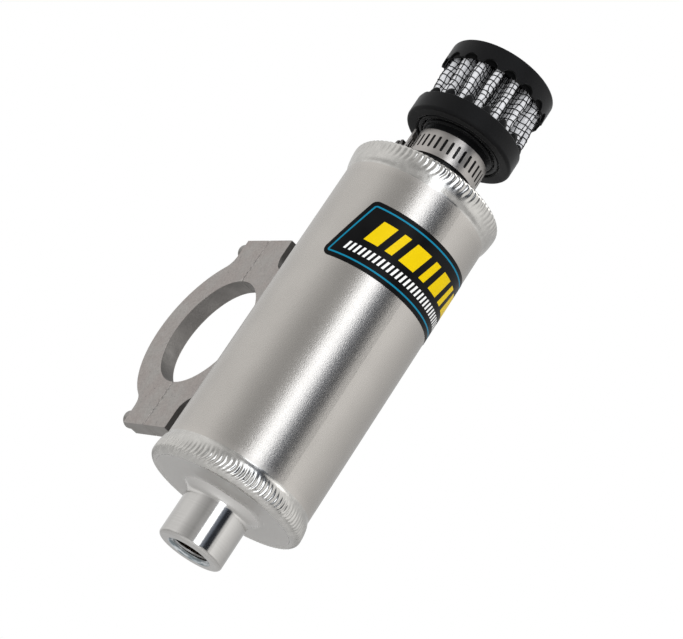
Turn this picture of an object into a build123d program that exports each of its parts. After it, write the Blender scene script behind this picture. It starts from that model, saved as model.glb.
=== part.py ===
from build123d import *
import math
import os

os.makedirs("parts", exist_ok=True)

# Crankcase vent tank: a welded aluminium can with a drain boss below, a pleated
# breather held by a worm-drive hose clamp above, and a split clamp for a frame tube
# welded to its side.
# Origin at the centre of the clamp bore. +Z runs up the tank, +Y along the clamp bore,
# +X from the clamp to the tank.

# Tank shell
tank_radius = 25.4
tank_wall = 1.65
tank_length = 121.3

# End caps, turned from bar
cap_thickness = 3.2
cap_setback = 0.9
plug_depth = 4.0
plug_wall = 3.0

# Drain boss on the lower cap
boss_radius = 11.0
boss_length = 18.8
boss_root_fillet = 4.0
boss_edge_fillet = 1.2
port_radius = 6.3
port_mouth_radius = 7.5
port_depth = 14.0
feed_radius = 4.5

# Breather spigot on the upper cap
spigot_radius = 9.5
spigot_length = 18.8
spigot_bore_radius = 6.7
spigot_edge_chamfer = 0.8

# Weld beads round both ends, each from a heel on its cap to a toe on the tube
bead_height = 1.2
bottom_bead_heel = 0.7
bottom_bead_crown = 2.2
bottom_bead_reach = 8.2
top_bead_heel = 1.1
top_bead_crown = 0.8
top_bead_reach = 7.5

# Split tube clamp
plate_thickness = 6.4
clamp_bore_radius = 21.5
ring_width = 10.8
ring_to_tank = 10.5
ear_half_width = 13.9
ear_rise = 7.0
ear_blend = 6.0
foot_half_width = 19.0
foot_root_half_width = 15.0
foot_blend = 4.0
split_chamfer = 0.3
weld_leg = 4.0
weld_crown = 0.5
weld_end_gap = 1.0

# Clamp screws
screw_edge_distance = 3.2
screw_radius = 1.75
screw_clearance = 0.2
screw_reach = 11.0
screw_head_radius = 3.1
screw_head_height = 3.2
screw_head_fillet = 0.7
screw_socket_flats = 2.8
screw_socket_depth = 1.7

# Breather: moulded rubber base with its neck
neck_wall = 2.4
neck_start = 3.5
base_overhang = 0.3
base_start = 20.2
base_height = 7.0
base_recess = 2.2
base_rim_fillet = 1.1
base_edge_fillet = 0.4
base_floor = 5.4
collar_width = 1.0
collar_height = 2.6
ridge_width = 1.3
ridge_height = 2.0
groove_width = 0.6
throat_radius = 8.0
spigot_end_gap = 0.3

# Breather: pleated element between its two caps
element_height = 19.0
pleat_count = 16
pleat_phase = 9.5
valley_centre_radius = 13.2
crest_bend = 0.95
valley_bend = 1.3
media_thickness = 1.0
screen_thickness = 0.35

# Breather: moulded rubber top
top_radius = 19.1
top_thickness = 5.2
top_edge_fillet = 0.7
skirt_gap = 0.1
skirt_wall = 1.05
skirt_depth = 2.1
notch_rise = 1.9
notch_radius = 2.6

# Worm-drive hose clamp
band_thickness = 0.6
band_width = 9.1
band_start = 8.0
slot_count = 33
slot_phase = 7.8
slot_width = 0.95
slot_length = 4.9
tail_gap = 0.25
tail_spring = 2.4
tail_end_angle = 234.0
housing_angle = 175.0
housing_length = 10.5
housing_wall = 0.7
housing_floor = 0.5
worm_radius = 2.5
worm_clearance = 0.1
worm_collar_radius = 3.3
worm_collar_length = 0.9
worm_head_flats = 6.35
worm_head_length = 5.0
worm_slot_width = 1.0
worm_slot_depth = 1.6

# Label wrapped round the front of the tank
label_width = 61.0
label_height = 22.95
label_drop = 20.55
label_angle = 4.2
label_slant = 0.31
label_corner = 2.4
label_thickness = 0.12

# Places that follow from the sizes above
ring_radius = clamp_bore_radius + ring_width
ear_reach = ring_radius + ear_rise
screw_height = ear_reach - screw_edge_distance
tank_side = ring_radius + ring_to_tank
tank_offset = tank_side + tank_radius
tank_bottom = -tank_length / 2
tank_top = tank_length / 2
tube_inner_radius = tank_radius - tank_wall
cap_radius = tank_radius - cap_setback
label_bottom = tank_top - label_drop - label_height
neck_radius = spigot_radius + neck_wall
tank_axis = Axis((tank_offset, 0, 0), (0, 0, 1))
half_plate = plate_thickness / 2

# Section planes through the tank axis, with local x as the radius. Local y is the height
# into the tank from its lower face, into it from its upper face, and up from its upper face.
lower_section = Plane((tank_offset, 0, tank_bottom), x_dir=(1, 0, 0), z_dir=(0, -1, 0))
upper_section = Plane((tank_offset, 0, tank_top), x_dir=(1, 0, 0), z_dir=(0, 1, 0))
breather_section = Plane((tank_offset, 0, tank_top), x_dir=(1, 0, 0), z_dir=(0, -1, 0))


def level(height):
    """Horizontal plane on the tank axis, at a height above the tank's upper face."""
    return Plane((tank_offset, 0, tank_top + height))


def corner(sketch, radius, height):
    """The vertex of an open sketch that is nearest to a radius and a height."""
    return sketch.vertices().sort_by_distance((radius, height, 0))[0]


# Tank tube between the two caps
with BuildPart() as tank_tube:
    with BuildSketch(Plane((tank_offset, 0, tank_bottom + cap_thickness))):
        Circle(tank_radius)
        Circle(tube_inner_radius, mode=Mode.SUBTRACT)
    extrude(amount=tank_length - 2 * cap_thickness)

# Inner side of both end caps: disc face, plug ring and the shoulder under the tube's end
plug_end = cap_thickness + plug_depth
plug_outline = [
    (tube_inner_radius - plug_wall, cap_thickness),
    (tube_inner_radius - plug_wall, plug_end),
    (tube_inner_radius, plug_end),
    (tube_inner_radius, cap_thickness),
    (cap_radius, cap_thickness),
    (cap_radius, 0),
]

# Lower cap, turned in one piece with the threaded drain boss
port_end = port_depth - boss_length
with BuildPart() as bottom_cap:
    with BuildSketch(lower_section) as bottom_section:
        with BuildLine():
            Polyline(
                (feed_radius, cap_thickness),
                *plug_outline,
                (boss_radius, 0),
                (boss_radius, -boss_length),
                (port_mouth_radius, -boss_length),
                (port_radius, port_mouth_radius - port_radius - boss_length),
                (port_radius, port_end),
                (feed_radius, port_end),
                close=True,
            )
        make_face()
        fillet(corner(bottom_section, boss_radius, 0), boss_root_fillet)
        fillet(corner(bottom_section, boss_radius, -boss_length), boss_edge_fillet)
    revolve(axis=tank_axis)

# Upper cap, turned in one piece with the breather spigot
with BuildPart() as top_cap:
    with BuildSketch(upper_section) as top_section:
        with BuildLine():
            Polyline(
                (spigot_bore_radius, cap_thickness),
                *plug_outline,
                (spigot_radius, 0),
                (spigot_radius, -spigot_length),
                (spigot_bore_radius, -spigot_length),
                close=True,
            )
        make_face()
        chamfer(corner(top_section, spigot_radius, -spigot_length), spigot_edge_chamfer)
    revolve(axis=tank_axis)


def weld_ring(section, heel_inset, crown_depth, reach):
    """Weld bead round one end, piled over the cap's rim and drawn out over the tube."""
    crown = (tank_radius + bead_height, crown_depth)
    heel = (cap_radius - heel_inset, 0)
    toe = (tank_radius, reach)
    with BuildPart() as ring:
        with BuildSketch(section):
            with BuildLine():
                TangentArc(crown, heel, tangent=(0, -1))
                TangentArc(crown, toe, tangent=(0, 1))
                Polyline(
                    toe,
                    (tank_radius, cap_thickness),
                    (cap_radius, cap_thickness),
                    (cap_radius, 0),
                    heel,
                )
            make_face()
        revolve(axis=tank_axis)
    return ring


bottom_weld = weld_ring(lower_section, bottom_bead_heel, bottom_bead_crown, bottom_bead_reach)
top_weld = weld_ring(upper_section, top_bead_heel, top_bead_crown, top_bead_reach)


def clamp_outline(sketch):
    """Ring with an ear above and below, and a blend where each ear leaves the ring."""
    Circle(ring_radius)
    Rectangle(2 * ear_half_width, 2 * ear_reach)
    ear_root = math.sqrt(ring_radius**2 - ear_half_width**2)
    roots = [
        corner(sketch, side * ear_half_width, end * ear_root)
        for side in (-1, 1)
        for end in (-1, 1)
    ]
    fillet(roots, ear_blend)


def clamp_holes(cutting_radius, start, end):
    """Holes along X for the two clamp screws, from one X to another."""
    with BuildSketch(Plane.YZ.offset(start)) as holes:
        with Locations((0, -screw_height), (0, screw_height)):
            Circle(cutting_radius)
    extrude(holes.sketch, amount=end - start, mode=Mode.SUBTRACT)


def sawn_rims(part):
    """Edges round the two faces where the clamp was sawn apart."""
    sawn = [face for face in part.faces().filter_by(Axis.X) if abs(face.center().X) < 0.01]
    return [edge for face in sawn for edge in face.outer_wire().edges()]


# Inner half of the clamp, with the foot that is welded to the tank
with BuildPart() as clamp_base:
    with BuildSketch(Plane.XZ) as base_outline:
        clamp_outline(base_outline)
        with BuildLine():
            Polyline(
                (0, foot_root_half_width),
                (tank_offset, foot_half_width),
                (tank_offset, -foot_half_width),
                (0, -foot_root_half_width),
                close=True,
            )
        make_face()
        foot_roots = base_outline.vertices().filter_by(
            lambda v: abs(v.Y) < ring_radius - ear_blend and ear_half_width < v.X < tank_side
        )
        fillet(foot_roots, foot_blend)
        Circle(clamp_bore_radius, mode=Mode.SUBTRACT)
        with Locations((-ring_radius / 2, 0)):
            Rectangle(ring_radius, 3 * ring_radius, mode=Mode.SUBTRACT)
    extrude(amount=half_plate, both=True)
    with Locations((tank_offset, 0, 0)):
        Cylinder(tank_radius, tank_length, mode=Mode.SUBTRACT)
    clamp_holes(screw_radius, 0, screw_reach)
    chamfer(sawn_rims(clamp_base), split_chamfer)

# Outer half of the clamp, drawn in by the two screws
with BuildPart() as clamp_cap:
    with BuildSketch(Plane.XZ) as cap_outline:
        clamp_outline(cap_outline)
        Circle(clamp_bore_radius, mode=Mode.SUBTRACT)
        with Locations((ring_radius / 2, 0)):
            Rectangle(ring_radius, 3 * ring_radius, mode=Mode.SUBTRACT)
    extrude(amount=half_plate, both=True)
    clamp_holes(screw_radius + screw_clearance, -ear_half_width, 0)
    chamfer(sawn_rims(clamp_cap), split_chamfer)


def clamp_screw(height):
    """Socket-head screw through one ear, threaded into the inner half."""
    head_seat = Plane((-ear_half_width, 0, height), x_dir=(0, 1, 0), z_dir=(-1, 0, 0))
    with BuildPart() as screw:
        with BuildSketch(head_seat):
            Circle(screw_radius)
        extrude(amount=-(ear_half_width + screw_reach))
        with BuildSketch(head_seat):
            Circle(screw_head_radius)
        extrude(amount=screw_head_height)
        fillet(screw.faces().sort_by(Axis.X)[0].edges(), screw_head_fillet)
        with BuildSketch(head_seat.offset(screw_head_height)):
            RegularPolygon(screw_socket_flats / 2, 6, major_radius=False)
        extrude(amount=-screw_socket_depth, mode=Mode.SUBTRACT)
    return screw


clamp_screw_lower = clamp_screw(-screw_height)
clamp_screw_upper = clamp_screw(screw_height)


def clamp_weld(side):
    """Fillet weld between one face of the clamp's foot and the tank."""
    root_turn = math.asin(half_plate / tank_radius)
    toe_turn = math.asin((half_plate + weld_leg) / tank_radius)

    def on_tank(turn):
        return (
            tank_offset - tank_radius * math.cos(turn),
            side * tank_radius * math.sin(turn),
        )

    plate_toe = (on_tank(root_turn)[0] - weld_leg, side * half_plate)
    tank_toe = on_tank(toe_turn)
    crown = (
        (plate_toe[0] + tank_toe[0]) / 2 - weld_crown,
        (plate_toe[1] + tank_toe[1]) / 2 + side * weld_crown,
    )
    length = 2 * (foot_half_width - weld_end_gap)
    with BuildPart() as weld:
        with BuildSketch(Plane.XY.offset(-length / 2)):
            with BuildLine():
                ThreePointArc(on_tank(root_turn), on_tank((root_turn + toe_turn) / 2), tank_toe)
                ThreePointArc(tank_toe, crown, plate_toe)
                Line(plate_toe, on_tank(root_turn))
            make_face()
        extrude(amount=length)
    return weld


clamp_weld_near = clamp_weld(-1)
clamp_weld_far = clamp_weld(1)

# Rubber base of the breather, with the neck that slips over the spigot
base_top = base_start + base_height
element_start = base_start + base_floor
recess_top = base_start + base_recess
skirt_inner_radius = top_radius - skirt_wall
base_radius = top_radius + base_overhang
shoulder = spigot_length + spigot_end_gap
collar_radius = neck_radius + collar_width
collar_start = recess_top - collar_height
ridge_inner = collar_radius + groove_width
ridge_outer = ridge_inner + ridge_width
ridge_start = recess_top - ridge_height
rim_inner_radius = ridge_outer + groove_width
with BuildPart() as filter_base:
    with BuildSketch(breather_section) as base_section:
        with BuildLine():
            Polyline(
                (spigot_radius, neck_start),
                (neck_radius, neck_start),
                (neck_radius, collar_start),
                (collar_radius, collar_start),
                (collar_radius, recess_top),
                (ridge_inner, recess_top),
                (ridge_inner, ridge_start),
                (ridge_outer, ridge_start),
                (ridge_outer, recess_top),
                (rim_inner_radius, recess_top),
                (rim_inner_radius, base_start),
                (base_radius, base_start),
                (base_radius, base_top),
                (skirt_inner_radius, base_top),
                (skirt_inner_radius, element_start),
                (throat_radius, element_start),
                (throat_radius, shoulder),
                (spigot_radius, shoulder),
                close=True,
            )
        make_face()
        fillet(corner(base_section, base_radius, base_start), base_rim_fillet)
        fillet(corner(base_section, rim_inner_radius, base_start), base_edge_fillet)
        fillet(corner(base_section, base_radius, base_top), base_edge_fillet)
        fillet(corner(base_section, neck_radius, neck_start), base_edge_fillet)
        fillet(corner(base_section, collar_radius, collar_start), base_edge_fillet)
        fillet(corner(base_section, ridge_inner, ridge_start), base_edge_fillet)
        fillet(corner(base_section, ridge_outer, ridge_start), base_edge_fillet)
    revolve(axis=tank_axis)

# Rubber top of the breather, scalloped over each valley of the pleats
element_end = element_start + element_height
skirt_end = element_end - skirt_depth
top_end = element_end + top_thickness
half_pleat = 180 / pleat_count
with BuildPart() as filter_top:
    with BuildSketch(breather_section) as cover_section:
        with BuildLine():
            Polyline(
                (0, element_end),
                (skirt_inner_radius, element_end),
                (skirt_inner_radius, skirt_end),
                (top_radius, skirt_end),
                (top_radius, top_end),
                (0, top_end),
                close=True,
            )
        make_face()
        fillet(corner(cover_section, top_radius, top_end), top_edge_fillet)
    revolve(axis=tank_axis)
    with Locations(level(skirt_end + notch_rise - notch_radius)):
        with PolarLocations(top_radius, pleat_count, start_angle=pleat_phase + half_pleat):
            Cylinder(
                notch_radius,
                2 * (top_radius - skirt_inner_radius),
                rotation=(0, 90, 0),
                mode=Mode.SUBTRACT,
            )


def pleat_outline(shift):
    """Closed outline of the pleats, moved outward by the shift from their mid-surface."""
    crest = crest_bend + shift
    valley = valley_bend - shift
    half_turn = math.radians(half_pleat)
    crest_centre = Vector(crest_centre_radius, 0)
    valley_centre = Vector(valley_centre_radius, 0).rotate(Axis.Z, half_pleat)
    span = valley_centre - crest_centre
    along = span.normalized()
    across = Vector(along.Y, -along.X)
    lean = (crest + valley) / span.length
    normal = along * lean + across * math.sqrt(1 - lean**2)
    crest_tip = crest_centre + Vector(crest, 0)
    crest_end = crest_centre + normal * crest
    valley_start = valley_centre - normal * valley
    inward = Vector(-math.cos(half_turn), -math.sin(half_turn))
    valley_tip = valley_centre + inward * valley
    with BuildLine() as half_wave:
        crest_bow = (crest_tip - crest_centre + normal * crest).normalized()
        valley_bow = (inward - normal).normalized()
        ThreePointArc(crest_tip, crest_centre + crest_bow * crest, crest_end)
        Line(crest_end, valley_start)
        ThreePointArc(valley_start, valley_centre + valley_bow * valley, valley_tip)
    return half_wave.line


def pleated_sheet(outer_shift, inner_shift):
    """Sheet that follows the pleats, between two shifts from their mid-surface."""
    with BuildPart() as sheet:
        with BuildSketch(level(element_start)):
            for shift, mode in ((outer_shift, Mode.ADD), (inner_shift, Mode.SUBTRACT)):
                half_wave = pleat_outline(shift)
                with BuildLine():
                    with PolarLocations(0, pleat_count, start_angle=pleat_phase):
                        add(half_wave)
                        add(half_wave.mirror(Plane.XZ))
                make_face(mode=mode)
        extrude(amount=element_height)
    return sheet


# Pleated cotton between an outer and an inner wire screen
half_media = media_thickness / 2
screen_shift = half_media + screen_thickness
crest_radius = skirt_inner_radius - skirt_gap
crest_centre_radius = crest_radius - screen_shift - crest_bend

filter_media = pleated_sheet(half_media, -half_media)
filter_outer_screen = pleated_sheet(screen_shift, half_media)
filter_inner_screen = pleated_sheet(-half_media, -screen_shift)

# Slotted band of the hose clamp. Its tail lies over the first turn in the housing and
# springs off it beyond, on a larger circle with its centre behind the tank axis.
band_radius = neck_radius + band_thickness
tail_outer_radius = band_radius + tail_gap + band_thickness
tail_centre = Vector(-tail_spring, 0).rotate(Axis.Z, housing_angle)
tail_bend = tail_outer_radius + tail_spring
housing_half_turn = math.degrees(math.asin(housing_length / 2 / band_radius))


def sector(inner, outer, start, end, centre=Vector(0, 0)):
    """Ring sector between two angles about its centre, drawn in the open sketch."""
    with BuildLine() as outline:
        CenterArc(centre, outer, start, end - start)
        CenterArc(centre, inner, start, end - start)
        for angle in (start, end):
            turn = math.radians(angle)
            toward = Vector(math.cos(turn), math.sin(turn))
            Line(centre + toward * inner, centre + toward * outer)
    make_face(outline.edges())


with BuildPart() as hose_clamp_band:
    with BuildSketch(level(band_start)):
        Circle(band_radius)
        Circle(neck_radius, mode=Mode.SUBTRACT)
        sector(tail_bend - band_thickness, tail_bend, housing_angle, tail_end_angle, tail_centre)
        sector(
            band_radius,
            tail_outer_radius - band_thickness / 2,
            housing_angle,
            housing_angle + housing_half_turn / 2,
        )
    extrude(amount=band_width)
    pitch = 360 / slot_count
    slots = [slot_phase + pitch * i for i in range(slot_count)]
    slot_reach = tail_bend + band_thickness - neck_radius
    for angle in slots:
        offset = (angle - housing_angle + 180) % 360 - 180
        if abs(offset) < housing_half_turn:
            continue
        outward = Vector(1, 0, 0).rotate(Axis.Z, angle)
        middle = Vector(tank_offset, 0, tank_top + band_start + band_width / 2)
        with BuildSketch(Plane(middle + outward * (neck_radius - band_thickness), z_dir=outward)):
            SlotOverall(slot_length, slot_width, rotation=90)
        extrude(amount=slot_reach, mode=Mode.SUBTRACT)

# Worm housing: a saddle over the band with a domed tunnel for the screw
band_middle = band_start + band_width / 2
outward = Vector(1, 0, 0).rotate(Axis.Z, housing_angle)
sideways = Vector(0, 1, 0).rotate(Axis.Z, housing_angle)
worm_bore_radius = worm_radius + worm_clearance
worm_centre_radius = tail_outer_radius + housing_floor + worm_bore_radius
dome_radius = worm_bore_radius + housing_wall
saddle_half_width = band_width / 2 + housing_wall
housing_origin = Vector(tank_offset, 0, tank_top + band_middle)
housing_section = Plane(housing_origin, x_dir=outward, z_dir=sideways)
dome_side = worm_centre_radius - dome_radius / 2
with BuildPart() as hose_clamp_housing:
    with BuildSketch(housing_section.offset(-housing_length / 2)) as tunnel_section:
        with BuildLine():
            Polyline(
                (dome_side, saddle_half_width),
                (neck_radius / 2, saddle_half_width),
                (neck_radius / 2, -saddle_half_width),
                (dome_side, -saddle_half_width),
            )
            ThreePointArc(
                (dome_side, -saddle_half_width),
                (worm_centre_radius + dome_radius, 0),
                (dome_side, saddle_half_width),
            )
        make_face()
        with Locations((worm_centre_radius, 0)):
            Circle(worm_bore_radius, mode=Mode.SUBTRACT)
    extrude(amount=housing_length)
    with BuildSketch(level(band_start)):
        with Locations(tail_centre):
            Circle(tail_bend)
    extrude(amount=band_width, mode=Mode.SUBTRACT)
    with BuildSketch(level(band_middle - saddle_half_width)):
        Circle(band_radius)
    extrude(amount=2 * saddle_half_width, mode=Mode.SUBTRACT)

# Worm screw with a collar and a slotted hexagon head beyond the housing
head_start = housing_length / 2
with BuildPart() as hose_clamp_screw:
    for start, end, radius in (
        (-head_start, head_start, worm_radius),
        (head_start, head_start + worm_collar_length, worm_collar_radius),
    ):
        with BuildSketch(housing_section.offset(start)):
            with Locations((worm_centre_radius, 0)):
                Circle(radius)
        extrude(amount=end - start)
    with BuildSketch(housing_section.offset(head_start + worm_collar_length)):
        with Locations((worm_centre_radius, 0)):
            RegularPolygon(worm_head_flats / 2, 6, major_radius=False)
    extrude(amount=worm_head_length)
    head_end = head_start + worm_collar_length + worm_head_length
    with BuildSketch(housing_section.offset(head_end)):
        with Locations((worm_centre_radius, 0)):
            Rectangle(worm_slot_width, 2 * worm_head_flats)
    extrude(amount=-worm_slot_depth, mode=Mode.SUBTRACT)


def label_half(side):
    """Half of the label's skin, with its slanted end cut to rounded corners."""
    end_turn = math.degrees(label_width / 2 / tank_radius)
    lean = label_slant * label_height / 2
    half = label_height / 2
    inner = -side * tank_radius
    facing = label_angle + side * end_turn
    far_turn = end_turn + math.degrees((lean + label_corner) / tank_radius)
    end_plane = Plane(
        (tank_offset, 0, label_bottom + half),
        x_dir=Vector(0, 1, 0).rotate(Axis.Z, facing),
        z_dir=Vector(1, 0, 0).rotate(Axis.Z, facing),
    )
    with BuildPart() as skin:
        with BuildSketch(Plane((tank_offset, 0, label_bottom))):
            start, end = sorted((label_angle, label_angle + side * far_turn))
            sector(tank_radius, tank_radius + label_thickness, start, end)
        extrude(amount=label_height)
        with BuildSketch(end_plane) as end_shape:
            with BuildLine():
                Polyline((lean, half), (-lean, -half), (inner, -half), (inner, half), close=True)
            make_face()
            fillet(
                [corner(end_shape, lean, half), corner(end_shape, -lean, -half)],
                label_corner,
            )
        extrude(amount=2 * tank_radius, mode=Mode.INTERSECT)
    return skin


# Printed label, a thin skin with slanted ends and rounded corners
with BuildPart() as label:
    add(label_half(-1))
    add(label_half(1))

pieces = {
    "tank_tube": tank_tube,
    "bottom_cap": bottom_cap,
    "top_cap": top_cap,
    "bottom_weld": bottom_weld,
    "top_weld": top_weld,
    "clamp_base": clamp_base,
    "clamp_cap": clamp_cap,
    "clamp_screw_lower": clamp_screw_lower,
    "clamp_screw_upper": clamp_screw_upper,
    "clamp_weld_near": clamp_weld_near,
    "clamp_weld_far": clamp_weld_far,
    "filter_base": filter_base,
    "filter_top": filter_top,
    "filter_media": filter_media,
    "filter_outer_screen": filter_outer_screen,
    "filter_inner_screen": filter_inner_screen,
    "hose_clamp_band": hose_clamp_band,
    "hose_clamp_housing": hose_clamp_housing,
    "hose_clamp_screw": hose_clamp_screw,
    "label": label,
}
for name, piece in pieces.items():
    piece.part.label = name
    export_step(piece.part, f"parts/{name}.step")
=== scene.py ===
import math

import bpy
from bpy.props import FloatProperty, FloatVectorProperty, IntProperty, PointerProperty
from mathutils import Matrix, Vector, noise


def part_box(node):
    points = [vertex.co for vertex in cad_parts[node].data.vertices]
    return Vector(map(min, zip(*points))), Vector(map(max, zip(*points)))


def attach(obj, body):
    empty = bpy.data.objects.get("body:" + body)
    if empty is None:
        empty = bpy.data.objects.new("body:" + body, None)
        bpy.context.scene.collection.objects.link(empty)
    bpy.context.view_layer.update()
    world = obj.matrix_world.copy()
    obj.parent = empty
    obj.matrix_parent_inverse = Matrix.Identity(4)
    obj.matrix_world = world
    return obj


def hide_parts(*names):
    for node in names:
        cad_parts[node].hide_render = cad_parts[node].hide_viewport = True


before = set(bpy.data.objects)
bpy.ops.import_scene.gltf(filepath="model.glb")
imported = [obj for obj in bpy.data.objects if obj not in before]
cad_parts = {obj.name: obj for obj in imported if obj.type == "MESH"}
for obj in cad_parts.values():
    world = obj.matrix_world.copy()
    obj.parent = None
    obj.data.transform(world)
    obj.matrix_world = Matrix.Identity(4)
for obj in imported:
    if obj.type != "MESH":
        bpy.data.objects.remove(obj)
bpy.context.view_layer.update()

bl_info = {
    "name": "Vent Tank Finishes",
    "version": (1, 0, 0),
    "blender": (4, 5, 0),
    "location": "View3D > Sidebar > Vent Tank",
    "description": "Finishes and fine pieces of a welded vent tank with a pleated breather",
    "category": "Object",
}

MM = 0.001
BODY = "root"

tube_low, tube_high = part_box("tank_tube")
cap_low, cap_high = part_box("bottom_cap")

TANK_X = (tube_low.x + tube_high.x) / 2
TANK_RADIUS = (tube_high.x - tube_low.x) / 2
CAP_THICKNESS = 3.2 * MM
CAP_RADIUS = (cap_high.x - cap_low.x) / 2
TANK_BOTTOM = tube_low.z - CAP_THICKNESS
TANK_TOP = tube_high.z + CAP_THICKNESS
BOSS_FLARE = 4.0 * MM
PORT_MOUTH_RADIUS = 7.5 * MM
BASE_START = TANK_TOP + 20.2 * MM
BASE_RECESS = 2.2 * MM
BASE_RIM_RADIUS = 15.4 * MM
HALF_PLATE = 3.2 * MM
CLAMP_BORE = 21.5 * MM
EAR_HALF_WIDTH = 13.9 * MM


# Node helpers


def put(tree, value, socket):
    """Links a socket to an input, or writes a plain value on it."""
    if isinstance(value, bpy.types.NodeSocket):
        tree.links.new(value, socket)
    else:
        socket.default_value = value


def node(tree, kind, inputs=None, **settings):
    """Adds a node, sets its options, and fills its inputs by name or number."""
    made = tree.nodes.new(kind)
    for name, value in settings.items():
        setattr(made, name, value)
    for key, value in (inputs or {}).items():
        put(tree, value, made.inputs[key])
    return made


def maths(tree, operation, *values):
    """One Math node's result."""
    return node(tree, "ShaderNodeMath", dict(enumerate(values)), operation=operation).outputs[0]


def spread(tree, value, from_low, from_high, to_low=0.0, to_high=1.0, smooth=False):
    """A value carried from one range to another, held at the ends."""
    made = node(
        tree,
        "ShaderNodeMapRange",
        {0: value, 1: from_low, 2: from_high, 3: to_low, 4: to_high},
        interpolation_type="SMOOTHSTEP" if smooth else "LINEAR",
    )
    return made.outputs[0]


def hypotenuse(tree, first, second):
    """The long side of a right angle with two short sides."""
    squares = maths(tree, "MULTIPLY_ADD", first, first, maths(tree, "MULTIPLY", second, second))
    return maths(tree, "SQRT", squares)


def mixed(tree, factor, first, second):
    """Two colours mixed."""
    made = node(tree, "ShaderNodeMix", {0: factor, 6: first, 7: second}, data_type="RGBA")
    return made.outputs[2]


def cloud(tree, vector, size, detail=2.0, roughness=0.5):
    """A noise whose blobs are about one size across, in metres."""
    inputs = {"Vector": vector, "Scale": 1 / size, "Detail": detail, "Roughness": roughness}
    return node(tree, "ShaderNodeTexNoise", inputs).outputs["Fac"]


def split(tree, vector):
    """The three parts of a vector."""
    return node(tree, "ShaderNodeSeparateXYZ", {0: vector}).outputs


def centred(tree, place):
    """Object coordinates moved so that a point of the row frame is their origin."""
    where = node(tree, "ShaderNodeTexCoord").outputs["Object"]
    moved = node(tree, "ShaderNodeMapping", {"Vector": where, "Location": [-c for c in place]})
    return moved.outputs[0]


def linear(colour):
    """A colour written as on screen, made linear with full alpha."""
    out = [c / 12.92 if c <= 0.04045 else ((c + 0.055) / 1.055) ** 2.4 for c in colour[:3]]
    return (*out, 1.0)


def screen(code):
    """The three screen values of a hexadecimal colour."""
    return tuple(int(code[i : i + 2], 16) / 255 for i in (0, 2, 4))


def toned(colour, factor):
    """A linear colour made lighter or darker."""
    return (*[min(1.0, c * factor) for c in colour[:3]], 1.0)


def new_group(name, kind, inputs, outputs):
    """A node group with named sockets, and its two end nodes. An input's kind follows from
    its plain value, or is given in place of one."""
    sockets = {float: "NodeSocketFloat", int: "NodeSocketInt", tuple: "NodeSocketVector"}
    tree = bpy.data.node_groups.new(name, kind)
    for label, value in inputs.items():
        given = isinstance(value, str)
        socket = value if given else sockets[type(value)]
        made = tree.interface.new_socket(name=label, in_out="INPUT", socket_type=socket)
        if not given:
            made.default_value = value
    for label, socket in outputs.items():
        tree.interface.new_socket(name=label, in_out="OUTPUT", socket_type=socket)
    return tree, node(tree, "NodeGroupInput").outputs, node(tree, "NodeGroupOutput").inputs


def speckle_group():
    """Fine pits and grains, as on tumbled metal or moulded rubber."""
    name = "Fine speckle"
    if name in bpy.data.node_groups:
        return bpy.data.node_groups[name]
    tree, start, end = new_group(
        name,
        "ShaderNodeTree",
        {"Vector": "NodeSocketVector", "Grain": 0.0005, "Patch": 0.01},
        {"Tone": "NodeSocketFloat", "Height": "NodeSocketFloat", "Patches": "NodeSocketFloat"},
    )
    fine = node(tree, "ShaderNodeTexNoise", {"Vector": start["Vector"], "Detail": 2.0, "Roughness": 0.6})
    put(tree, maths(tree, "DIVIDE", 1.0, start["Grain"]), fine.inputs["Scale"])
    wide = node(tree, "ShaderNodeTexNoise", {"Vector": start["Vector"], "Detail": 3.0, "Roughness": 0.55})
    put(tree, maths(tree, "DIVIDE", 1.0, start["Patch"]), wide.inputs["Scale"])
    put(tree, spread(tree, fine.outputs["Fac"], 0.3, 0.7), end["Tone"])
    put(tree, fine.outputs["Fac"], end["Height"])
    put(tree, spread(tree, wide.outputs["Fac"], 0.3, 0.7, smooth=True), end["Patches"])
    return tree


def lathe_group():
    """Tool marks round the tank's axis: rings on a face, hoops on a side."""
    name = "Lathe marks"
    if name in bpy.data.node_groups:
        return bpy.data.node_groups[name]
    tree, start, end = new_group(
        name,
        "ShaderNodeTree",
        {"Vector": "NodeSocketVector", "Pitch": 0.0003},
        {"Tone": "NodeSocketFloat", "Height": "NodeSocketFloat"},
    )
    parts = split(tree, start["Vector"])
    along = maths(tree, "ADD", hypotenuse(tree, parts[0], parts[1]), parts[2])
    place = maths(tree, "DIVIDE", along, start["Pitch"])
    inputs = {"W": place, "Scale": 1.0, "Detail": 3.0, "Roughness": 0.7}
    line = node(tree, "ShaderNodeTexNoise", inputs, noise_dimensions="1D")
    put(tree, spread(tree, line.outputs["Fac"], 0.3, 0.7), end["Tone"])
    put(tree, line.outputs["Fac"], end["Height"])
    return tree


def use_group(tree, group, inputs):
    """Places a node group in a material and returns its outputs."""
    made = tree.nodes.new("ShaderNodeGroup")
    made.node_tree = group
    for key, value in inputs.items():
        put(tree, value, made.inputs[key])
    return made.outputs


def new_material(name, slot):
    """A material with one Principled shader, and the record slot that it stands for."""
    made = bpy.data.materials.new(name)
    made.use_nodes = True
    made["record_slot"] = slot
    return made, made.node_tree, made.node_tree.nodes["Principled BSDF"].inputs


def bump(tree, height, distance, normal=None):
    """A normal bent by a height, over a distance in metres."""
    made = node(tree, "ShaderNodeBump", {"Height": height, "Distance": distance, "Strength": 1.0})
    if normal is not None:
        put(tree, normal, made.inputs["Normal"])
    return made.outputs[0]


def speckle(tree, vector, grain, patch):
    """The fine speckle's outputs, with grains and patches of two sizes."""
    return use_group(tree, speckle_group(), {"Vector": vector, "Grain": grain, "Patch": patch})


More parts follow.
